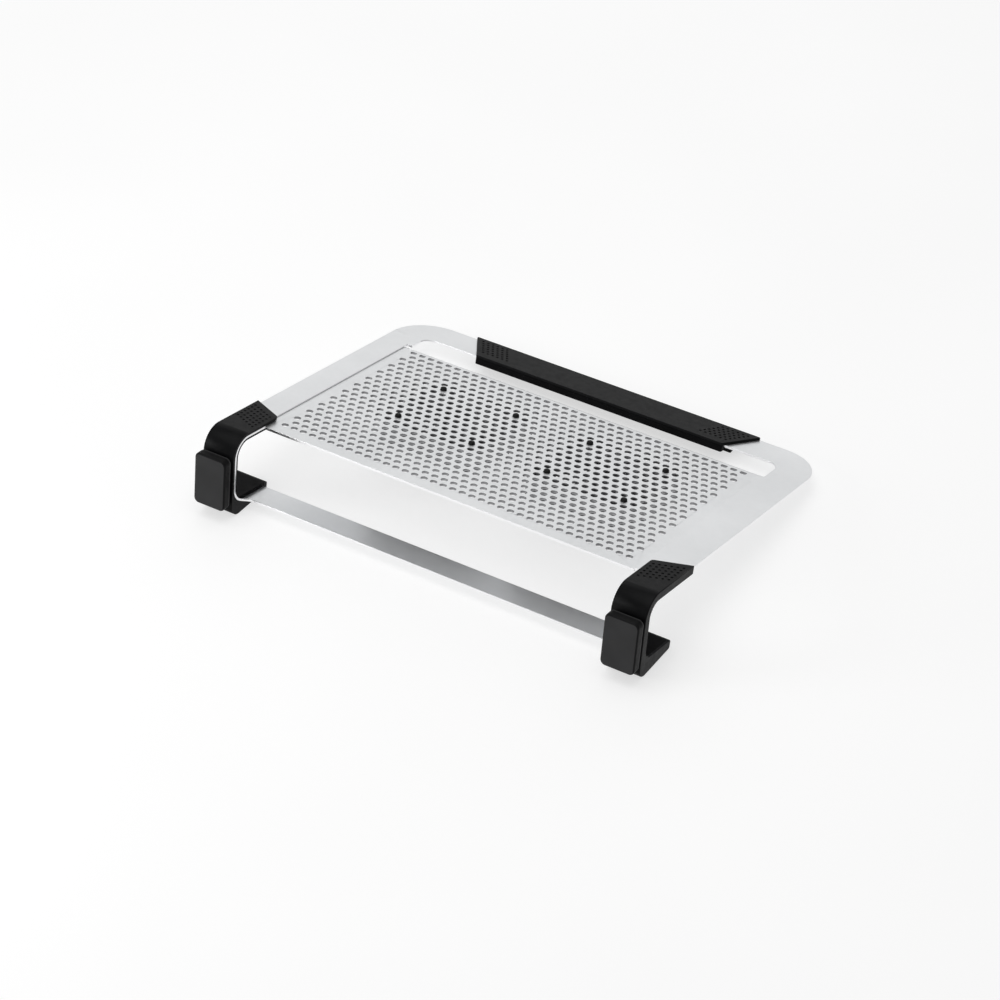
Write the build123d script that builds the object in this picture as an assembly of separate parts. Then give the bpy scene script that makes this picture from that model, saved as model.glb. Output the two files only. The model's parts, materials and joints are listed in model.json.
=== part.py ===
from build123d import *
import math
import os

# Laptop cooling stand: one bent aluminium sheet carries a perforated panel, with a fan hung
# under each half of it by pegs. Black mouldings cover the legs and make the feet, a black strip
# stops the laptop at the low edge, and a pad on each leg pulls out on an elastic band.
#
# The pieces are drawn in the deck's own frame: x to the user's right, y from the low edge to the
# raised edge, z along the deck's normal, with z = 0 on top of the perforated panel at the middle
# of its holes. At the end the deck is tilted and lifted on to the floor. Millimetres.

# ---- Deck ----
deck_tilt = 11.0
stand_height = 35.0          # middle of the panel above the floor
deck_half_width = 175.8
deck_front_y = -141.0
deck_corner_radius = 33.0
sheet = 1.8
rail_top = 1.0
rail_bottom = rail_top - sheet

# ---- Perforated panel ----
hole_pitch = 7.75
hole_radius = 2.5
hole_rows = 23
hole_columns = 37
panel_x = hole_pitch / 2     # sets the fans, which hang from the holes, even about the middle
panel_half_width = 150.4
panel_gap = 0.1
panel_thickness = 2.0
panel_rear_y = 98.3
panel_lip_y = -93.8
panel_lip_radius = 5.0
panel_lip_height = 6.0
panel_flange_width = 8.5
panel_flange_end_y = 68.0

# ---- Slot between the panel and the front rail ----
slot_front_y = -114.1
slot_half_width = 150.3
slot_corner_radius = 9.0

# ---- Legs ----
leg_inner_x = 151.2
leg_wall = 1.4               # side wall of the cover, over the sheet's outer edge
leg_lean = 5.0               # from the deck's normal
leg_y = 131.8                # middle of the sheet in the leg, at the height leg_z
leg_z = -20.0
top_bend_radius = 13.0       # both bends are measured at the middle of the sheet
foot_bend_radius = 13.0
flange_top_z = -48.5
crossbar_front_y = 93.0
crossbar_rear_y = 116.5
crossbar_corner_radius = 8.0
window_split_z = -38.0

# ---- Leg cover and liner ----
cover_skin = 2.0
liner_skin = 1.4
side_wall_extra = 1.2        # by which the cover's side wall reaches inside the liner
cover_end_y = 71.0           # outer end of the slanted edge
cover_end_slope = 0.48
cover_end_radius = 3.0       # of the slanted edge's inner corner
foot_top_z = -45.5
foot_end_y = 89.5
foot_corner_radius = 8.0
foot_inner_radius = 7.0
nose_radius = 2.0
edge_radius = 0.7

# ---- Rubber feet ----
rear_pad_proud = 0.6
rear_pad_thickness = 1.4
rear_pad_x = (154.5, 176.5)
rear_pad_y = (97.0, 116.0)
front_foot_x = 92.0
front_foot_size = (26.0, 11.0)
front_foot_y = -133.0
front_foot_radius = 1.0

# ---- Grip dots ----
dot_count = 6
dot_radius = 1.0
dot_depth = 0.5
cover_dot_pitch = (3.7, 4.3)
cover_dot_margin = 6.4
strip_dot_pitch = (4.2, 3.4)
strip_dot_margin = (5.6, 5.2)

# ---- Front strip ----
strip_top = 3.0
strip_front_y = -141.6
strip_rear_y = -111.3
strip_front_half = 121.8
strip_rear_half = 104.3
strip_base_thickness = 3.0
strip_base_inset = 3.5
strip_lip = 0.4              # by which the base's wall stands proud of the strip above it
strip_screw_pitch = 48.0
strip_screw_y = -127.5
strip_boss_radius = 2.8
strip_boss_gap = 0.2

# ---- Screws ----
screw_radius = 1.2
screw_head_radius = 2.3
screw_head_height = 1.4
screw_clearance = 0.2

# ---- Pull-out pads on the legs ----
pad_x = 164.6
pad_z = -30.8
pad_size = (25.8, 40.5)
pad_corner_radius = 4.0
pad_thickness = 7.35
pad_edge_radius = 1.5
boss_size = (21.5, 35.0)
boss_height = 2.2
boss_corner_radius = 3.0
pad_gap = 0.1
cavity_size = (18.0, 32.0)
cavity_depth = 4.2
cavity_corner_radius = 2.0
pad_base_thickness = 1.6
pad_base_inset = 0.3
pad_pin_radius = 0.8
leg_screw_x = 7.0              # from the pad's middle, across the leg
leg_screw_rise = 10.0          # above the pad's middle, along the leg

# ---- Elastic band in each pad ----
band_width = 14.0
band_thickness = 0.8
band_fold_length = 10.5
anchor_size = (17.0, 5.5)
anchor_thickness = 1.3
band_slot_gap = 0.5

# ---- Fans ----
fan_rows_from_middle = -2.0            # of the fans' centres, in hole pitches along y
fan_columns_from_middle = {"left": -8.5, "right": 7.5}
fan_side = 85.0
fan_corner_radius = 6.0
fan_top = -3.0
fan_bottom = -17.0
fan_floor = 1.5
duct_radius = 38.0
fan_rim_radius = 1.0
spoke_width = 4.0
motor_base_radius = 16.0
peg_span = 8 * hole_pitch
peg_stem_radius = 1.5
peg_stem_bottom = -8.0
peg_shoulder_radius = 3.5
peg_shank_radius = 2.3
peg_knob_top = 2.2
peg_gap = 0.05
bearing_tube_radii = (3.0, 4.0)
bearing_top = -7.0
bearing_bottom = -14.2
bearing_clearance = 0.03
shaft_radius = 1.0
shaft_bottom = -15.3
shaft_top = -4.9
board_radius = 12.5
board_thickness = 1.2
stator_radius = 11.5
stator_bottom = -13.6
stator_top = -8.4
pole_width = 4.6
pole_shoe = 1.5
coil_wall = 1.2
hub_radius = 15.0
hub_top = -4.4
hub_bottom = -13.6
hub_wall = 1.6
hub_roof = 1.4
magnet_radius = 12.0
magnet_bottom = -13.0
blade_count = 7
blade_root = (14.3, 11.5, 38.0)        # radius, chord, pitch angle
blade_tip = (36.4, 17.0, 27.0)
blade_thickness = 1.3
blade_middle_z = -9.1
socket_size = (9.5, 9.0, 7.0)
socket_y = -31.5
port_size = (6.0, 7.2, 2.4)
port_tongue = (4.6, 5.0, 0.7)
lead_size = (2.0, 0.8)
retainer_radii = (0.7, 2.2)
retainer_z = -15.1
retainer_thickness = 0.5
retainer_opening = 1.2

# ---- Worked-out places ----
sheet_middle = rail_top - sheet / 2
half_sheet = sheet / 2
flange_middle = flange_top_z - half_sheet
cover_outside = half_sheet + cover_skin
liner_inside = -half_sheet - liner_skin
wall_inside = liner_inside - side_wall_extra
cover_outer_x = deck_half_width + leg_wall
frame_rear_y = panel_rear_y + panel_gap
tan_lean = math.tan(math.radians(leg_lean))
cos_lean = math.cos(math.radians(leg_lean))
tan_tilt = math.tan(math.radians(deck_tilt))
cos_tilt = math.cos(math.radians(deck_tilt))
fan_y = fan_rows_from_middle * hole_pitch
pad_plate = cover_outside + boss_height + pad_gap
strip_bottom = rail_bottom - strip_base_thickness


def floor_z(y, above=0.0):
    """Height in the deck's frame of the floor, or of a plane above it, at the place y."""
    return (above - stand_height) / cos_tilt - y * tan_tilt


def leg_line_y(z, offset):
    """Place of the leg's surface at height z, offset outwards from the middle of the sheet."""
    return leg_y + (z - leg_z) * tan_lean + offset / cos_lean


def top_corner(offset):
    z = sheet_middle + offset
    return (leg_line_y(z, offset), z)


def foot_corner(offset):
    z = flange_middle - offset
    return (leg_line_y(z, offset), z)


def sole_corner(offset, above):
    """Where the leg's offset surface meets a plane parallel to the floor."""
    base = leg_line_y(0.0, offset)
    height = (above - stand_height) / cos_tilt
    y = (base + height * tan_lean) / (1 + tan_tilt * tan_lean)
    return (y, floor_z(y, above))


def outline(corners):
    """Closed face from corners given as (point, radius)."""
    points = [point for point, radius in corners]
    radii = [radius for point, radius in corners]
    return make_face(FilletPolyline(*points, radius=radii, close=True).edges())


def side_slab(corners, x_low, x_high):
    """Solid of a side profile in (y, z), from x_low to x_high."""
    face = Plane.YZ * outline(corners)
    return Pos(x_low, 0, 0) * extrude(face, x_high - x_low)


def plan_slab(corners, z_low, z_high):
    """Solid of a plan outline in (x, y), from z_low to z_high."""
    return Pos(0, 0, z_low) * extrude(outline(corners), z_high - z_low)


def block(x_span, y_span, z_span):
    size = [span[1] - span[0] for span in (x_span, y_span, z_span)]
    middle = [(span[1] + span[0]) / 2 for span in (x_span, y_span, z_span)]
    return Pos(*middle) * Box(*size)


def rod(radius, z_low, z_high, x=0.0, y=0.0):
    return Pos(x, y, (z_low + z_high) / 2) * Cylinder(radius, z_high - z_low)


def ring(inner_radius, outer_radius, z_low, z_high):
    return rod(outer_radius, z_low, z_high) - rod(inner_radius, z_low, z_high)


def both_sides(solid):
    return solid + mirror(solid, about=Plane.YZ)


def leg_plane(along=0.0):
    """Plane on the middle of the right leg's sheet: x across, y down the leg, z outwards."""
    z = pad_z - along * cos_lean
    normal = (0, cos_lean, -math.sin(math.radians(leg_lean)))
    return Plane(origin=(pad_x, leg_line_y(z, 0.0), z), x_dir=(1, 0, 0), z_dir=normal)


def end_line_y(x):
    """Slanted end of the leg cover at the place x on the right side."""
    return cover_end_y + (cover_outer_x - x) * cover_end_slope


def end_cutter():
    far_y = cover_end_y - 20
    low_x = leg_inner_x - 10
    high_x = cover_outer_x + 10
    corners = [((low_x, far_y), 0), ((high_x, far_y), 0),
               ((high_x, end_line_y(high_x)), 0), ((low_x, end_line_y(low_x)), 0)]
    return plan_slab(corners, -15, 15)


# ---- Frame sheet ----

def rails():
    width = deck_half_width
    plate = plan_slab([((-width, deck_front_y), deck_corner_radius),
                       ((width, deck_front_y), deck_corner_radius),
                       ((width, frame_rear_y), 0), ((-width, frame_rear_y), 0)],
                      rail_bottom, rail_top)
    half = slot_half_width
    rear_y = panel_lip_y + panel_lip_radius
    slot = plan_slab([((-half, slot_front_y), slot_corner_radius),
                      ((half, slot_front_y), slot_corner_radius),
                      ((half, rear_y), 0), ((-half, rear_y), 0)], rail_bottom - 1, rail_top + 1)
    inner = panel_half_width + panel_gap
    opening = block((panel_x - inner, panel_x + inner), (panel_lip_y - panel_gap, frame_rear_y + 1),
                    (rail_bottom - 1, rail_top + 1))
    return plate - slot - opening


def strap():
    """The rails' ends, the legs and the crossbar, as one bent strip with its window cut out."""
    low, high = -half_sheet, half_sheet
    start_y = frame_rear_y
    profile = [((start_y, sheet_middle + high), 0),
               (top_corner(high), top_bend_radius + high),
               (foot_corner(high), foot_bend_radius + high),
               ((crossbar_front_y, flange_middle - high), 0),
               ((crossbar_front_y, flange_middle - low), 0),
               (foot_corner(low), foot_bend_radius + low),
               (top_corner(low), top_bend_radius + low),
               ((start_y, sheet_middle + low), 0)]
    strip = side_slab(profile, -deck_half_width, deck_half_width)
    far_y = leg_y + 40
    upper = block((-leg_inner_x, leg_inner_x), (start_y - 5, far_y), (window_split_z, 10))
    lower = plan_slab([((-leg_inner_x, crossbar_rear_y), crossbar_corner_radius),
                       ((leg_inner_x, crossbar_rear_y), crossbar_corner_radius),
                       ((leg_inner_x, far_y), 0), ((-leg_inner_x, far_y), 0)],
                      floor_z(leg_y) - 5, window_split_z)
    return strip - upper - lower


def strip_screw_places():
    return [(index * strip_screw_pitch, strip_screw_y) for index in range(-2, 3)]


def frame_sheet():
    body = rails() + strap()
    for x, y in strip_screw_places():
        body -= rod(strip_boss_radius + strip_boss_gap, rail_bottom - 1, rail_top + 1, x, y)
    body -= both_sides(leg_screw_holes(screw_radius + screw_clearance, -5, 5))
    return body


# ---- Perforated panel ----

def hole_places():
    places = []
    for row in range(hole_rows):
        shift = 0.5 * (row % 2)
        for column in range(hole_columns - row % 2):
            x = (column + shift - (hole_columns - 1) / 2) * hole_pitch
            y = (row - (hole_rows - 1) / 2) * hole_pitch
            places.append((x, y))
    return places


def perforated_panel():
    bend_y = panel_lip_y + panel_lip_radius + 1
    half = panel_half_width
    border = Wire.make_polygon([(-half, bend_y, 0), (half, bend_y, 0),
                                (half, panel_rear_y, 0), (-half, panel_rear_y, 0)])
    holes = [Wire.make_circle(hole_radius, Plane(origin=(x, y, 0))) for x, y in hole_places()]
    plate = Solid.extrude(Face(border, holes), Vector(0, 0, -panel_thickness))
    thick = panel_thickness
    lip = side_slab([((bend_y + 1, 0), 0),
                     ((panel_lip_y, 0), panel_lip_radius),
                     ((panel_lip_y, -panel_lip_height), 0),
                     ((panel_lip_y + thick, -panel_lip_height), 0),
                     ((panel_lip_y + thick, -thick), panel_lip_radius - thick),
                     ((bend_y + 1, -thick), 0)], -half, half)
    flange = block((half - 2, half + panel_flange_width), (bend_y, panel_flange_end_y),
                   (rail_bottom - thick, rail_bottom))
    return Pos(panel_x, 0, 0) * (Part() + plate + lip + both_sides(flange))


# ---- Leg covers and liners ----

def leg_screw_holes(radius, low, high):
    """Rods through both leg screws' places on the right leg."""
    return leg_plane(-leg_screw_rise) * (rod(radius, low, high, -leg_screw_x, 0)
                                         + rod(radius, low, high, leg_screw_x, 0))


def cover_front_corners():
    """Outer side of the cover's profile, from its top end round to the nose of the foot."""
    return [((cover_end_y, sheet_middle + cover_outside), 0),
            (top_corner(cover_outside), top_bend_radius + cover_outside),
            (sole_corner(cover_outside, rear_pad_proud), foot_corner_radius),
            ((foot_end_y, floor_z(foot_end_y, rear_pad_proud)), nose_radius),
            ((foot_end_y, foot_top_z), nose_radius)]


def inner_foot_corner(offset):
    return (leg_line_y(foot_top_z, offset), foot_top_z)


def cover_shell():
    profile = cover_front_corners() + [
        ((crossbar_front_y, foot_top_z), 0),
        ((crossbar_front_y, flange_middle - half_sheet), 0),
        (foot_corner(half_sheet), foot_bend_radius + half_sheet),
        (top_corner(half_sheet), top_bend_radius + half_sheet),
        ((cover_end_y, rail_top), 0)]
    return side_slab(profile, leg_inner_x, deck_half_width)


def cover_side_wall():
    profile = cover_front_corners() + [
        (inner_foot_corner(wall_inside), foot_inner_radius),
        (top_corner(wall_inside), top_bend_radius + wall_inside),
        ((cover_end_y, sheet_middle + wall_inside), 0)]
    wall = side_slab(profile, deck_half_width, cover_outer_x)
    return fillet(wall.faces().sort_by(Axis.X)[-1].edges(), edge_radius)


def cover_dots():
    pitch_x, pitch_y = cover_dot_pitch
    middle_x = (leg_inner_x + cover_outer_x) / 2
    top = sheet_middle + cover_outside
    dots = Part()
    for column in range(dot_count):
        x = middle_x + (column - (dot_count - 1) / 2) * pitch_x
        for row in range(dot_count):
            y = end_line_y(x) + cover_dot_margin + row * pitch_y
            dots += rod(dot_radius, top - dot_depth, top + 1, x, y)
    return dots


def pad_boss():
    """Raised seat of the pull-out pad on the cover, in the leg's plane."""
    seat = extrude(RectangleRounded(*boss_size, boss_corner_radius), boss_height + 0.5)
    return leg_plane() * Pos(0, 0, cover_outside - 0.5) * seat


def rear_pad_corners():
    low_y, high_y = rear_pad_y
    return [((low_y, floor_z(low_y)), 0), ((high_y, floor_z(high_y)), 0),
            ((high_y, floor_z(high_y, rear_pad_thickness)), 0),
            ((low_y, floor_z(low_y, rear_pad_thickness)), 0)]


def cover_body():
    """Shell and side wall, with the inner corner of the slanted end rounded."""
    body = cover_shell() + cover_side_wall() - end_cutter()
    corner = Vector(leg_inner_x, end_line_y(leg_inner_x), sheet_middle + cover_outside / 2)
    return fillet(body.edges().filter_by(Axis.Z).sort_by_distance(corner)[:1], cover_end_radius)


def leg_cover():
    body = cover_body() + pad_boss()
    body -= cover_dots()
    body -= leg_screw_holes(screw_radius, 0, cover_outside + boss_height - 0.8)
    body -= leg_plane() * block((-anchor_size[0] / 2, anchor_size[0] / 2),
                                (-anchor_size[1] / 2, anchor_size[1] / 2),
                                (half_sheet, half_sheet + anchor_thickness))
    slot_half_x = band_width / 2 + band_slot_gap
    slot_half_y = band_thickness / 2 + band_slot_gap
    body -= leg_plane() * block((-slot_half_x, slot_half_x), (-slot_half_y, slot_half_y),
                                (half_sheet, cover_outside + boss_height + 1))
    body -= rear_foot()
    return body


def leg_liner():
    corner = top_corner(-half_sheet)
    profile = [((cover_end_y, rail_bottom), 0),
               (corner, top_bend_radius - half_sheet),
               (foot_corner(-half_sheet), foot_bend_radius - half_sheet),
               ((crossbar_front_y, flange_top_z), 0),
               ((crossbar_front_y, foot_top_z), 0),
               (inner_foot_corner(liner_inside), foot_inner_radius),
               (top_corner(liner_inside), top_bend_radius + liner_inside),
               ((cover_end_y, sheet_middle + liner_inside), 0)]
    body = side_slab(profile, leg_inner_x, deck_half_width)
    body -= end_cutter()
    body -= leg_screw_holes(screw_radius + screw_clearance, liner_inside - 1, 0)
    edge_x = panel_x + panel_half_width + panel_gap
    return body - block((leg_inner_x - 1, edge_x), (cover_end_y, frame_rear_y),
                        (-panel_thickness - panel_gap, 0))


def leg_screws():
    shank = leg_screw_holes(screw_radius, liner_inside, cover_outside + boss_height - 0.8)
    head = leg_screw_holes(screw_head_radius, liner_inside - screw_head_height, liner_inside)
    return shank + head


def rear_foot():
    return side_slab(rear_pad_corners(), *rear_pad_x)


# ---- Front strip ----

def strip_half(y):
    """Half length of the trapezoid strip at the place y."""
    share = (y - strip_front_y) / (strip_rear_y - strip_front_y)
    return strip_front_half + share * (strip_rear_half - strip_front_half)


def trapezoid(front_y, rear_y, inset, z_low, z_high):
    front_half = strip_half(front_y) - inset
    rear_half = strip_half(rear_y) - inset
    return plan_slab([((-front_half, front_y), 1), ((front_half, front_y), 1),
                      ((rear_half, rear_y), 1), ((-rear_half, rear_y), 1)], z_low, z_high)


def strip_dots():
    pitch_x, pitch_y = strip_dot_pitch
    margin_x, margin_y = strip_dot_margin
    dots = Part()
    for row in range(dot_count):
        y = strip_front_y + margin_y + row * pitch_y
        for column in range(dot_count):
            x = strip_half(y) - margin_x - column * pitch_x
            dots += rod(dot_radius, strip_top - dot_depth, strip_top + 1, x, y)
    return both_sides(dots)


def front_strip_top():
    body = trapezoid(strip_front_y, strip_rear_y, 0, rail_top, strip_top)
    body = fillet(body.faces().sort_by(Axis.Z)[-1].edges(), edge_radius)
    for x, y in strip_screw_places():
        body += rod(strip_boss_radius, rail_bottom, rail_top + 0.5, x, y)
        body -= rod(screw_radius, rail_bottom, strip_top - 0.8, x, y)
    return body - strip_dots()


def front_strip_base():
    """Plate under the front rail, with a wall that closes the slot's front edge up to the strip."""
    body = trapezoid(deck_front_y + 1, slot_front_y, strip_base_inset, strip_bottom, rail_bottom)
    half = strip_rear_half + strip_lip
    wall = plan_slab([((-half, slot_front_y + panel_gap), 0), ((half, slot_front_y + panel_gap), 0),
                      ((half, strip_rear_y + strip_lip), 1.2),
                      ((-half, strip_rear_y + strip_lip), 1.2)], strip_bottom, rail_top)
    body += wall + block((-half, half), (slot_front_y - 2, slot_front_y + 1), (strip_bottom, rail_bottom))
    head_room = screw_head_radius + screw_clearance
    for x, y in strip_screw_places():
        body -= rod(screw_radius + screw_clearance, strip_bottom, rail_bottom, x, y)
        body -= rod(head_room, strip_bottom, strip_bottom + screw_head_height, x, y)
    return body


def strip_screws():
    group = []
    for x, y in strip_screw_places():
        head = rod(screw_head_radius, strip_bottom, strip_bottom + screw_head_height, x, y)
        group.append(head + rod(screw_radius, strip_bottom, strip_top - 0.8, x, y))
    return group


def front_foot():
    length, width = front_foot_size
    low_y = front_foot_y - width / 2
    high_y = front_foot_y + width / 2
    profile = [((low_y, strip_bottom), 0), ((low_y, floor_z(low_y)), front_foot_radius),
               ((high_y, floor_z(high_y)), front_foot_radius), ((high_y, strip_bottom), 0)]
    return side_slab(profile, front_foot_x - length / 2, front_foot_x + length / 2)


# ---- Pull-out pads ----

def pad_cap():
    thickness = pad_thickness - pad_base_thickness
    body = extrude(RectangleRounded(*pad_size, pad_corner_radius), thickness)
    body = fillet(body.faces().sort_by(Axis.Z)[-1].edges(), pad_edge_radius)
    body -= extrude(RectangleRounded(*cavity_size, cavity_corner_radius), cavity_depth)
    body = Pos(0, 0, pad_plate + pad_base_thickness) * body
    return leg_plane() * body - pad_pin()


def pad_base():
    size = [length - 2 * pad_base_inset for length in pad_size]
    plate = extrude(RectangleRounded(*size, pad_corner_radius - pad_base_inset), pad_base_thickness)
    slot = Box(band_width + 2 * band_slot_gap, band_thickness + 2 * band_slot_gap, 10)
    return leg_plane() * Pos(0, 0, pad_plate) * (plate - slot)


def pad_pin_height():
    return pad_plate + pad_base_thickness + pad_pin_radius + band_thickness + 0.2


def pad_pin():
    length = (cavity_size[0] + pad_size[0]) / 2
    return leg_plane() * Pos(0, 0, pad_pin_height()) * Rot(0, 90, 0) * Cylinder(pad_pin_radius, length)


def band_fold():
    """The band's loop round the pad's pin, and its folded spare length beside it."""
    height = pad_pin_height()
    loop_radius = pad_pin_radius + band_thickness
    low = height - loop_radius + band_thickness / 2
    high = height + loop_radius - band_thickness / 2
    turn = (high - low) / 2 - 0.01
    path = FilletPolyline((0, low), (band_fold_length, low), (band_fold_length, high),
                          (loop_radius + 1, high), radius=turn)
    face = Plane.YZ * trace(path, band_thickness)
    fold = Pos(-band_width / 2, 0, 0) * extrude(face, band_width)
    loop = Cylinder(loop_radius, band_width) - Cylinder(pad_pin_radius, band_width)
    loop = Pos(0, 0, height) * Rot(0, 90, 0) * loop
    clear = Pos(0, 0, height) * Rot(0, 90, 0) * Cylinder(pad_pin_radius, band_width)
    return leg_plane() * (fold + loop - clear)


def band_strand():
    loop_bottom = pad_pin_height() - pad_pin_radius - band_thickness
    return leg_plane() * block((-band_width / 2, band_width / 2),
                               (-band_thickness / 2, band_thickness / 2),
                               (half_sheet + anchor_thickness, loop_bottom))


def band_anchor():
    return leg_plane() * block((-anchor_size[0] / 2, anchor_size[0] / 2),
                               (-anchor_size[1] / 2, anchor_size[1] / 2),
                               (half_sheet, half_sheet + anchor_thickness))


# ---- Fans, drawn round the fan's own axis ----

def peg_places():
    half = peg_span / 2
    return [(x, y) for x in (-half, half) for y in (-half, half)]


def socket_spans():
    length, width, height = socket_size
    right = fan_side / 2
    return ((right - length, right), (socket_y - width / 2, socket_y + width / 2),
            (fan_bottom + 0.5, fan_bottom + 0.5 + height))


def fan_leads():
    width, height = lead_size
    socket_x = fan_side / 2 - socket_size[0]
    start = board_radius + 0.3
    reach = math.hypot(socket_x, socket_y) - 1
    angle = math.degrees(math.atan2(socket_y, socket_x))
    bottom = fan_bottom + fan_floor
    lead = block((start, reach), (-width / 2, width / 2), (bottom, bottom + height))
    return Rot(0, 0, angle) * lead - block(*socket_spans())


def fan_frame():
    square = extrude(RectangleRounded(fan_side, fan_side, fan_corner_radius), fan_top - fan_bottom)
    square = fillet(square.faces().sort_by(Axis.Z)[-1].edges(), fan_rim_radius)
    body = Pos(0, 0, fan_bottom) * square
    body -= rod(duct_radius, fan_bottom, fan_top)
    floor_top = fan_bottom + fan_floor
    body += rod(motor_base_radius, fan_bottom, floor_top)
    spoke = block((motor_base_radius - 1, duct_radius + 1), (-spoke_width / 2, spoke_width / 2),
                  (fan_bottom, floor_top))
    for index in range(4):
        body += Rot(0, 0, 45 + 90 * index) * spoke
    inner, outer = bearing_tube_radii
    body += ring(inner, outer, floor_top, bearing_top)
    for x, y in peg_places():
        body -= rod(peg_stem_radius, peg_stem_bottom, fan_top, x, y)
    return body - block(*socket_spans()) - fan_leads()


def fan_peg(x, y):
    panel_under = -panel_thickness - peg_gap
    knob_radius = peg_shank_radius + 0.1
    profile = [((0, peg_stem_bottom), 0), ((peg_stem_radius, peg_stem_bottom), 0),
               ((peg_stem_radius, fan_top), 0), ((peg_shoulder_radius, fan_top), 0),
               ((peg_shoulder_radius, panel_under), 0), ((peg_shank_radius, panel_under), 0),
               ((peg_shank_radius, 0.4), 0), ((knob_radius, 0.8), 0),
               ((knob_radius, peg_knob_top), 1.4), ((0, peg_knob_top), 0)]
    return Pos(x, y, 0) * revolve(Plane.XZ * outline(profile), Axis.Z)


def power_socket():
    body = block(*socket_spans())
    x_span, y_span, z_span = socket_spans()
    face = Pos(x_span[1], socket_y, (z_span[0] + z_span[1]) / 2)
    depth, width, height = port_size
    body -= face * Pos(-depth / 2, 0, 0) * Box(depth, width, height)
    length, tongue_width, tongue_height = port_tongue
    return body + face * Pos(-depth + length / 2 - 0.5, 0, 0) * Box(length + 1, tongue_width,
                                                                    tongue_height)


def bearing():
    return ring(shaft_radius + bearing_clearance, bearing_tube_radii[0], bearing_bottom, bearing_top)


def circuit_board():
    floor_top = fan_bottom + fan_floor
    return ring(bearing_tube_radii[1], board_radius, floor_top, floor_top + board_thickness)


def pole_spans():
    return ((bearing_tube_radii[1] + 1, stator_radius - 0.5), (-pole_width / 4, pole_width / 4),
            (stator_bottom + coil_wall, stator_top - coil_wall))


def stator_core():
    tube = bearing_tube_radii[1]
    core = ring(tube, tube + 2, stator_bottom, stator_top)
    shoe = ring(stator_radius - pole_shoe, stator_radius, stator_bottom, stator_top)
    gap = block((0, stator_radius + 1), (-1, 1), (stator_bottom, stator_top))
    pole = block(*pole_spans())
    for index in range(4):
        shoe -= Rot(0, 0, 45 + 90 * index) * gap
        core += Rot(0, 0, 90 * index) * pole
    return core + shoe


def windings():
    """One coil round each of the stator's four poles."""
    low_x = bearing_tube_radii[1] + 2.2
    high_x = stator_radius - pole_shoe - 0.3
    coil = block((low_x, high_x), (-pole_width / 2, pole_width / 2),
                 (stator_bottom + 0.1, stator_top - 0.1))
    coil -= block(*pole_spans())
    return [Rot(0, 0, 90 * index) * coil for index in range(4)]


def blade_section(radius, chord, angle):
    plane = Plane(origin=(radius, 0, blade_middle_z), x_dir=(0, 1, 0), z_dir=(1, 0, 0))
    return plane * Rot(0, 0, angle) * Rectangle(chord, blade_thickness)


def impeller():
    body = ring(hub_radius - hub_wall, hub_radius, hub_bottom, hub_top)
    body += rod(hub_radius, hub_top - hub_roof, hub_top)
    body = fillet(body.edges().filter_by(GeomType.CIRCLE).group_by(Axis.Z)[-1], 0.6)
    body += rod(2.6, hub_top - hub_roof - 0.9, hub_top - hub_roof)
    blade = loft([blade_section(*blade_root), blade_section(*blade_tip)], ruled=True)
    for index in range(blade_count):
        body += Rot(0, 0, index * 360 / blade_count) * blade
    return body - rod(shaft_radius, hub_bottom, shaft_top)


def magnet_ring():
    return ring(magnet_radius, hub_radius - hub_wall, magnet_bottom, hub_top - hub_roof)


def shaft():
    return rod(shaft_radius, shaft_bottom, shaft_top) - retaining_clip()


def retaining_clip():
    inner, outer = retainer_radii
    clip = ring(inner, outer, retainer_z, retainer_z + retainer_thickness)
    return clip - block((0, outer + 1), (-retainer_opening / 2, retainer_opening / 2),
                        (retainer_z - 1, retainer_z + 1))


fan_pieces = {
    "frame": fan_frame,
    "power_socket": power_socket,
    "leads": fan_leads,
    "bearing": bearing,
    "circuit_board": circuit_board,
    "stator_core": stator_core,
}
rotor_pieces = {
    "impeller": impeller,
    "magnet_ring": magnet_ring,
    "shaft": shaft,
    "retaining_clip": retaining_clip,
}
leg_pieces = {
    "leg_cover": leg_cover,
    "leg_liner": leg_liner,
    "rear_foot": rear_foot,
    "pad_cap": pad_cap,
    "pad_base": pad_base,
    "pad_pin": pad_pin,
    "band_fold": band_fold,
    "band_strand": band_strand,
    "band_anchor": band_anchor,
}


def solids_of(shapes):
    """One compound of all the solids in a list of shapes."""
    return Compound(children=[solid for shape in shapes for solid in shape.solids()])


def stand_pieces():
    screws = leg_screws()
    foot = front_foot()
    pieces = {
        "frame_sheet": frame_sheet(),
        "perforated_panel": perforated_panel(),
        "front_strip_top": front_strip_top(),
        "front_strip_base": front_strip_base(),
        "strip_screws": solids_of(strip_screws()),
        "front_feet": solids_of([foot, mirror(foot, about=Plane.YZ)]),
        "leg_screws": solids_of([screws, mirror(screws, about=Plane.YZ)]),
    }
    for name, make in leg_pieces.items():
        right = make()
        pieces[name + "_right"] = right
        pieces[name + "_left"] = mirror(right, about=Plane.YZ)
    return pieces


def all_fan_pieces():
    made = {"fan_" + name: make() for name, make in fan_pieces.items()}
    made.update({"rotor_" + name: make() for name, make in rotor_pieces.items()})
    made["fan_pegs"] = solids_of([fan_peg(x, y) for x, y in peg_places()])
    made["fan_windings"] = solids_of(windings())
    pieces = {}
    for side, columns in fan_columns_from_middle.items():
        place = Pos(panel_x + columns * hole_pitch, fan_y, 0)
        for name, shape in made.items():
            pieces[name + "_" + side] = place * shape
    return pieces


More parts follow.
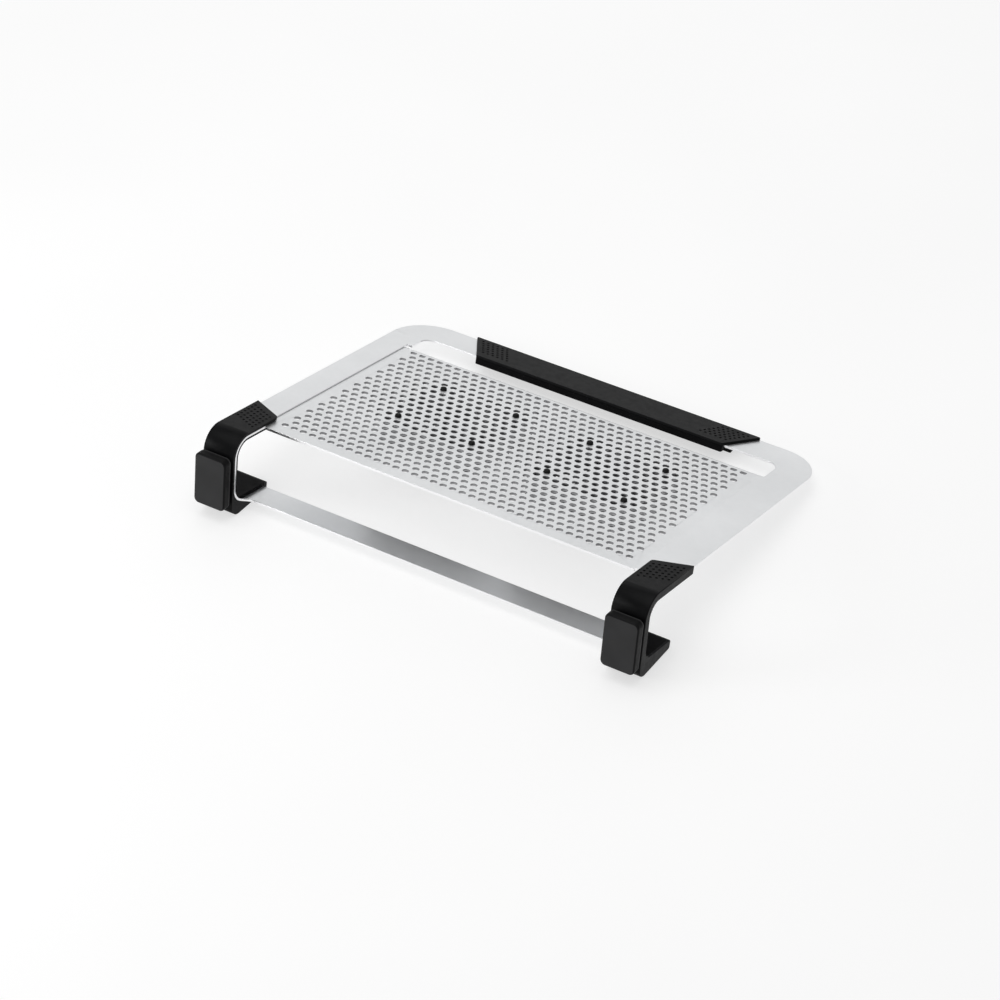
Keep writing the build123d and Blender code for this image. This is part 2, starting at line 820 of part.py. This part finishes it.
def on_the_floor(pieces):
    """Tilt the deck, stand it on the floor and centre it on the origin."""
    tilted = {name: Pos(0, 0, stand_height) * Rot(deck_tilt, 0, 0) * shape
              for name, shape in pieces.items()}
    boxes = [shape.bounding_box() for shape in tilted.values()]
    middle_y = (min(box.min.Y for box in boxes) + max(box.max.Y for box in boxes)) / 2
    print("deck origin in the part's frame: y", round(-middle_y, 3), "z", stand_height)
    return {name: Pos(0, -middle_y, 0) * shape for name, shape in tilted.items()}


def main():
    os.makedirs("parts", exist_ok=True)
    pieces = stand_pieces()
    pieces.update(all_fan_pieces())
    for name, shape in on_the_floor(pieces).items():
        export_step(shape, os.path.join("parts", name + ".step"))


main()
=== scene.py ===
import json
import math

import bpy
from mathutils import Matrix, Vector


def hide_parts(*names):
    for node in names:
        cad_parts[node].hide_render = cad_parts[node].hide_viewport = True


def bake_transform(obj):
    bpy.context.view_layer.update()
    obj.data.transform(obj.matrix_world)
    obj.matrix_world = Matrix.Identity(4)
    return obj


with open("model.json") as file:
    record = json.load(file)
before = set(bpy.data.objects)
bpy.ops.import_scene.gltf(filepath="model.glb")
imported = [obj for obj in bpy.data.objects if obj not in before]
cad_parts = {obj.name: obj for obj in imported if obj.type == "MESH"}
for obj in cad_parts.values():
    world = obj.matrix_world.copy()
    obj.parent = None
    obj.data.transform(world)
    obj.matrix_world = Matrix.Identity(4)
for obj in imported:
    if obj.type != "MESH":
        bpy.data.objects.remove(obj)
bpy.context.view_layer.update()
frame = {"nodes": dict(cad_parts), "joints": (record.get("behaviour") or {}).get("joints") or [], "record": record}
nodes = frame["nodes"]

SIDES = ("left", "right")

# ---- Camera, in metres, degrees and millimetres of lens ----
camera_place = (-0.8864, 1.5185, 1.2914)
camera_azimuth = 210.63
camera_elevation = 36.42
camera_roll = 1.51
camera_lens = 110.08
camera_far_limit = 50

# ---- Floor, lit from below like a light table ----
floor_half_side = 12.0
floor_glow = 0.62

# ---- Lights: place, target, size and power ----
world_strength = 0.36
lights = {
    "key_light": ((0.9, -1.8, 0.95), (0, 0, 0), (3.0, 1.8), 10),
    "top_light": ((0.2, 0.3, 1.8), (0, 0, 0), (1.6, 1.6), 13),
    "rear_fill": ((0.75, 0.85, 0.35), (0.17, 0.13, 0.03), (0.4, 0.4), 3.0),
}

# ---- Deck, in metres ----
deck_tilt = math.radians(11.0)
deck_origin = Vector((0, -0.004664, 0.035))     # in the part's frame
panel_middle_x = 0.003875
hole_field_half_width = 0.1455
hole_field_low_edge = -0.088                    # along the deck
hole_field_raised_edge = 0.0935
leg_bend_start = 0.1                            # along the deck
crossbar_top = 0.012                            # above the floor

# ---- Faces told apart by their normals, as cosines ----
upright_limit = 0.3             # against the sheet's own normal: below it, a cut edge or a hole's wall
rear_edge_limit = 0.6
sideways_limit = 0.9            # against X: above it, a cut edge of a leg
pad_front_limit = 0.93          # against Y: below it, not the pad's front

# ---- Elastic band of each pad ----
band_steps = 40
band_edge_cut = 0.00025

# ---- Rounded edges, in metres ----
edge_widths = {
    "frame_sheet": 0.00025,
    "perforated_panel": 0.00022,
    "front_strip_base": 0.0005,
    "front_feet": 0.0006,
}
side_edge_widths = {
    "leg_cover": 0.0005,
    "leg_liner": 0.0004,
    "rear_foot": 0.0004,
    "pad_base": 0.0002,
    "fan_frame": 0.0004,
    "fan_power_socket": 0.0002,
    "rotor_impeller": 0.0002,
}
weld_distance = 0.000002
bevel_angle = math.radians(35)


# ---- Materials ----

def new_material(name):
    """A material with its Principled shader and the object's own coordinates in metres."""
    material = bpy.data.materials.new(name)
    material.use_nodes = True
    tree = material.node_tree
    shader = tree.nodes["Principled BSDF"]
    place = tree.nodes.new("ShaderNodeTexCoord").outputs["Object"]
    return material, tree, shader, place


def noise(tree, place, scale, detail=2.0, roughness=0.5):
    node = tree.nodes.new("ShaderNodeTexNoise")
    node.inputs["Scale"].default_value = scale
    node.inputs["Detail"].default_value = detail
    node.inputs["Roughness"].default_value = roughness
    tree.links.new(place, node.inputs["Vector"])
    return node.outputs["Fac"]


def spread(tree, value, low, high):
    """Value from 0.3 to 0.7, stretched to run from low to high."""
    node = tree.nodes.new("ShaderNodeMapRange")
    node.inputs["From Min"].default_value = 0.3
    node.inputs["From Max"].default_value = 0.7
    node.inputs["To Min"].default_value = low
    node.inputs["To Max"].default_value = high
    tree.links.new(value, node.inputs["Value"])
    return node.outputs["Result"]


def stretched(tree, place, stretch):
    node = tree.nodes.new("ShaderNodeMapping")
    node.inputs["Scale"].default_value = stretch
    tree.links.new(place, node.inputs["Vector"])
    return node.outputs["Vector"]


def colour(tree, shader, factor, dark, light):
    """Base colour between two tones, by the factor."""
    node = tree.nodes.new("ShaderNodeMix")
    node.data_type = "RGBA"
    node.inputs["A"].default_value = (*dark, 1)
    node.inputs["B"].default_value = (*light, 1)
    tree.links.new(factor, node.inputs["Factor"])
    tree.links.new(node.outputs["Result"], shader.inputs["Base Color"])


def uneven_roughness(tree, shader, pattern, middle, swing):
    tree.links.new(spread(tree, pattern, middle - swing, middle + swing), shader.inputs["Roughness"])


def bump(tree, shader, height, strength, distance):
    node = tree.nodes.new("ShaderNodeBump")
    node.inputs["Strength"].default_value = strength
    node.inputs["Distance"].default_value = distance
    tree.links.new(height, node.inputs["Height"])
    tree.links.new(node.outputs["Normal"], shader.inputs["Normal"])


def aluminium(name, dark, light, roughness):
    """Satin anodised sheet: bead-blasted grain with faint clouds in colour and gloss."""
    material, tree, shader, place = new_material(name)
    shader.inputs["Metallic"].default_value = 0.9
    clouds = noise(tree, place, 18, 3)
    fine = noise(tree, place, 2600, 1)
    colour(tree, shader, spread(tree, clouds, 0, 1), dark, light)
    uneven_roughness(tree, shader, noise(tree, place, 300, 3), roughness, 0.05)
    bump(tree, shader, fine, 0.12, 0.0001)
    return material


def moulded_black(name, dark, light, roughness, grain_scale=1800, gloss=0.1):
    """Fine spark-eroded texture of a black moulding, slightly uneven in gloss."""
    material, tree, shader, place = new_material(name)
    shader.inputs["Specular IOR Level"].default_value = gloss
    clouds = noise(tree, place, 60, 3)
    fine = noise(tree, place, grain_scale, 2)
    colour(tree, shader, spread(tree, clouds, 0, 1), dark, light)
    uneven_roughness(tree, shader, noise(tree, place, 240, 2), roughness, 0.06)
    bump(tree, shader, fine, 0.25, 0.0002)
    return material


def metal(name, dark, light, roughness, stretch=(1, 1, 1)):
    """Bare metal with fine marks, which the stretch draws out into lines."""
    material, tree, shader, place = new_material(name)
    shader.inputs["Metallic"].default_value = 1.0
    lines = noise(tree, stretched(tree, place, stretch), 900, 3)
    colour(tree, shader, spread(tree, lines, 0, 1), dark, light)
    uneven_roughness(tree, shader, lines, roughness, 0.08)
    bump(tree, shader, lines, 0.1, 0.0001)
    return material


def woven(name, dark, light, roughness, ribs):
    """Elastic webbing: fine ribs along its length, in two nearly black threads."""
    material, tree, shader, place = new_material(name)
    shader.inputs["Specular IOR Level"].default_value = 0.1
    weave = tree.nodes.new("ShaderNodeTexWave")
    weave.bands_direction = "X"
    weave.inputs["Scale"].default_value = ribs
    weave.inputs["Distortion"].default_value = 1.5
    tree.links.new(place, weave.inputs["Vector"])
    threads = weave.outputs["Fac"]
    colour(tree, shader, threads, dark, light)
    uneven_roughness(tree, shader, noise(tree, place, 700), roughness, 0.05)
    bump(tree, shader, threads, 0.5, 0.0002)
    return material


def speckled(name, dark, light, roughness, scale):
    material, tree, shader, place = new_material(name)
    specks = noise(tree, place, scale, 4, 0.7)
    colour(tree, shader, spread(tree, specks, 0, 1), dark, light)
    uneven_roughness(tree, shader, specks, roughness, 0.08)
    bump(tree, shader, specks, 0.15, 0.0001)
    return material


finish_makers = {
    "frame_aluminium": (aluminium, (0.74, 0.75, 0.76), (0.80, 0.81, 0.82), 0.34),
    "panel_aluminium": (aluminium, (0.76, 0.77, 0.78), (0.82, 0.83, 0.84), 0.42),
    "cut_edge": (metal, (0.88, 0.88, 0.89), (0.95, 0.95, 0.96), 0.22, (0.2, 0.2, 3)),
    # Painted shade: the walls of the holes get a grey about half as bright as the panel, standing in for the shade
    # inside the holes
    "hole_wall_painted_shade": (aluminium, (0.34, 0.34, 0.35), (0.42, 0.42, 0.43), 0.5),
    "pad_side": (moulded_black, (0.006, 0.006, 0.0063), (0.010, 0.010, 0.0105), 0.45, 1800, 0.06),
    "cover_plastic": (moulded_black, (0.0042, 0.0043, 0.0047), (0.0065, 0.0067, 0.0072), 0.36, 1800, 0.06),
    "liner_plastic": (moulded_black, (0.003, 0.003, 0.0033), (0.005, 0.005, 0.0055), 0.5, 1800, 0.03),
    "foot_rubber": (moulded_black, (0.006, 0.006, 0.006), (0.010, 0.010, 0.010), 0.75, 900, 0.05),
    "pad_plastic": (moulded_black, (0.028, 0.028, 0.0285), (0.036, 0.036, 0.037), 0.5),
    "elastic_fabric": (woven, (0.012, 0.012, 0.012), (0.035, 0.035, 0.036), 0.85, 260),
    "anchor_plastic": (moulded_black, (0.009, 0.009, 0.010), (0.015, 0.015, 0.015), 0.55),
    "screw_steel": (metal, (0.42, 0.42, 0.43), (0.6, 0.6, 0.61), 0.3),
    "fan_plastic": (moulded_black, (0.004, 0.004, 0.0045), (0.007, 0.007, 0.0075), 0.5),
    "peg_rubber": (moulded_black, (0.006, 0.006, 0.006), (0.010, 0.010, 0.010), 0.55, 900, 0.15),
    "impeller_plastic": (moulded_black, (0.004, 0.004, 0.0045), (0.007, 0.007, 0.0075), 0.42),
    "socket_plastic": (moulded_black, (0.015, 0.015, 0.015), (0.025, 0.025, 0.025), 0.45),
    "lead_plastic": (moulded_black, (0.02, 0.02, 0.02), (0.03, 0.03, 0.03), 0.4),
    "bearing_bronze": (metal, (0.45, 0.3, 0.14), (0.6, 0.42, 0.2), 0.4),
    "board_laminate": (speckled, (0.01, 0.08, 0.03), (0.02, 0.13, 0.05), 0.35, 500),
    "stator_steel": (metal, (0.28, 0.28, 0.3), (0.45, 0.45, 0.47), 0.35, (0.2, 0.2, 4)),
    "winding_copper": (metal, (0.5, 0.17, 0.06), (0.72, 0.3, 0.12), 0.3, (0.2, 0.2, 4)),
    "magnet_ferrite": (speckled, (0.03, 0.03, 0.032), (0.06, 0.06, 0.062), 0.55, 1500),
}
finishes = {name: make(name, *look) for name, (make, *look) in finish_makers.items()}


# ---- Which faces of a piece take a second finish ----

def in_deck_frame(vector):
    return Matrix.Rotation(-deck_tilt, 3, "X") @ vector


def deck_place(point):
    return in_deck_frame(point - deck_origin)


# Picks the walls of the holes, which take the darker grey of painted shade
def gets_painted_hole_shade(centre, normal):
    place = deck_place(centre)
    upright = abs(in_deck_frame(normal).z) < upright_limit
    across = abs(place.x - panel_middle_x) < hole_field_half_width
    return upright and across and hole_field_low_edge < place.y < hole_field_raised_edge


def on_panel_rear_edge(centre, normal):
    beyond_holes = deck_place(centre).y > hole_field_raised_edge
    return beyond_holes and abs(in_deck_frame(normal).z) < rear_edge_limit


def on_sheet_edge(centre, normal):
    """Cut edges face sideways on the legs, and upright to the sheet on the deck and the crossbar."""
    if abs(normal.x) > sideways_limit:
        return True
    if centre.z < crossbar_top:
        return abs(normal.z) < upright_limit
    return deck_place(centre).y < leg_bend_start and abs(in_deck_frame(normal).z) < upright_limit


def on_pad_side(centre, normal):
    return abs(normal.y) < pad_front_limit


def paint_faces(node, finish, wanted):
    """Give the faces of one node that pass the test a second material."""
    mesh = nodes[node].data
    mesh.materials.append(finishes[finish])
    slot = len(mesh.materials) - 1
    for face in mesh.polygons:
        if wanted(face.center, face.normal):
            face.material_index = slot


def paint_nodes():
    for entry in frame["record"]["subparts"]:
        mesh = nodes[entry["node"]].data
        mesh.materials.clear()
        mesh.materials.append(finishes[entry["material_slot"]])
    # Hole walls painted darker: painted shade inside the holes
    paint_faces("perforated_panel", "hole_wall_painted_shade", gets_painted_hole_shade)
    paint_faces("perforated_panel", "cut_edge", on_panel_rear_edge)
    paint_faces("frame_sheet", "cut_edge", on_sheet_edge)
    for side in SIDES:
        paint_faces("pad_cap_" + side, "pad_side", on_pad_side)


# ---- Rounded edges on the CAD pieces ----

def round_edges(node, width):
    piece = nodes[node]
    weld = piece.modifiers.new("weld", "WELD")
    weld.merge_threshold = weld_distance
    bevel = piece.modifiers.new("bevel", "BEVEL")
    bevel.width = width
    bevel.segments = 2
    bevel.limit_method = "ANGLE"
    bevel.angle_limit = bevel_angle
    bevel.harden_normals = True


def round_all_edges():
    for node, width in edge_widths.items():
        round_edges(node, width)
    for name, width in side_edge_widths.items():
        for side in SIDES:
            round_edges(name + "_" + side, width)


# ---- Elastic bands, laid over the CAD strands ----

def pull_axis(side):
    for joint in frame["joints"]:
        if joint["name"] == "pad_" + side + "_pull":
            return Vector(joint["axis"]).normalized()


def band_outline(half_width, half_thickness):
    """Corners of the band's section with its edges cut off, across and through the band."""
    inner = half_width - band_edge_cut
    thin = half_thickness - band_edge_cut
    one_edge = [(inner, half_thickness), (half_width, thin), (half_width, -thin), (inner, -half_thickness)]
    other_edge = [(-across, through) for across, through in one_edge]
    return other_edge + one_edge[::-1]


def swept_faces(corners, steps):
    """Two end faces, and the walls between each step's ring of corners and the next."""
    faces = [tuple(reversed(range(corners))), tuple(range(steps * corners, (steps + 1) * corners))]
    for step in range(steps):
        first = step * corners
        for corner in range(corners):
            after = (corner + 1) % corners
            faces.append((first + corner, first + after, first + corners + after, first + corners + corner))
    return faces


def add_band(side):
    """A woven strand over the CAD strand, laid along the pad's pull axis."""
    axis = pull_axis(side)
    wide = Vector((1, 0, 0))
    thick = axis.cross(wide)
    points = [vertex.co for vertex in nodes["band_strand_" + side].data.vertices]
    centre = sum(points, Vector()) / len(points)
    half_length, half_width, half_thickness = (
        max(abs((point - centre).dot(direction)) for point in points) for direction in (axis, wide, thick))
    outline = band_outline(half_width, half_thickness)
    places = []
    for step in range(band_steps + 1):
        along = half_length * (2 * step / band_steps - 1)
        places += [centre + along * axis + u * wide + v * thick for u, v in outline]
    mesh = bpy.data.meshes.new("band_" + side)
    mesh.from_pydata(places, [], swept_faces(len(outline), band_steps))
    mesh.materials.append(finishes["elastic_fabric"])
    band = bpy.data.objects.new("band_" + side, mesh)
    bpy.context.scene.collection.objects.link(band)
    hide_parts("band_strand_" + side)
    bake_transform(band)


# ---- Studio ----

def add_camera():
    camera = bpy.data.objects.new("camera", bpy.data.cameras.new("camera"))
    bpy.context.scene.collection.objects.link(camera)
    turn = Matrix.Rotation(math.radians(camera_azimuth), 4, "Z")
    nod = Matrix.Rotation(math.radians(90 - camera_elevation), 4, "X")
    roll = Matrix.Rotation(math.radians(camera_roll), 4, "Z")
    camera.matrix_world = Matrix.Translation(camera_place) @ turn @ nod @ roll
    camera.data.lens = camera_lens
    camera.data.clip_end = camera_far_limit
    bpy.context.scene.camera = camera


def floor_material():
    material, tree, shader, place = new_material("floor")
    colour(tree, shader, spread(tree, noise(tree, place, 3), 0, 1), (0.43, 0.43, 0.43), (0.45, 0.45, 0.45))
    shader.inputs["Roughness"].default_value = 0.6
    shader.inputs["Specular IOR Level"].default_value = 0.1
    shader.inputs["Emission Color"].default_value = (1, 1, 1, 1)
    shader.inputs["Emission Strength"].default_value = floor_glow
    return material


def add_floor():
    side = floor_half_side
    mesh = bpy.data.meshes.new("floor")
    corners = [(-side, -side, 0), (side, -side, 0), (side, side, 0), (-side, side, 0)]
    mesh.from_pydata(corners, [], [(0, 1, 2, 3)])
    mesh.materials.append(floor_material())
    floor = bpy.data.objects.new("floor", mesh)
    bpy.context.scene.collection.objects.link(floor)


def add_light(name, place, target, size, power):
    data = bpy.data.lights.new(name, "AREA")
    data.shape = "RECTANGLE"
    data.size, data.size_y = size
    data.energy = power
    light = bpy.data.objects.new(name, data)
    light.location = place
    aim = Vector(target) - Vector(place)
    light.rotation_euler = aim.to_track_quat("-Z", "Y").to_euler()
    bpy.context.scene.collection.objects.link(light)


def add_studio():
    world = bpy.data.worlds.new("world")
    bpy.context.scene.world = world
    world.use_nodes = True
    background = world.node_tree.nodes["Background"]
    background.inputs["Color"].default_value = (1, 1, 1, 1)
    background.inputs["Strength"].default_value = world_strength
    for name, settings in lights.items():
        add_light(name, *settings)
    bpy.context.scene.view_settings.view_transform = "Standard"


paint_nodes()
round_all_edges()
for band_side in SIDES:
    add_band(band_side)
add_camera()
add_floor()
add_studio()
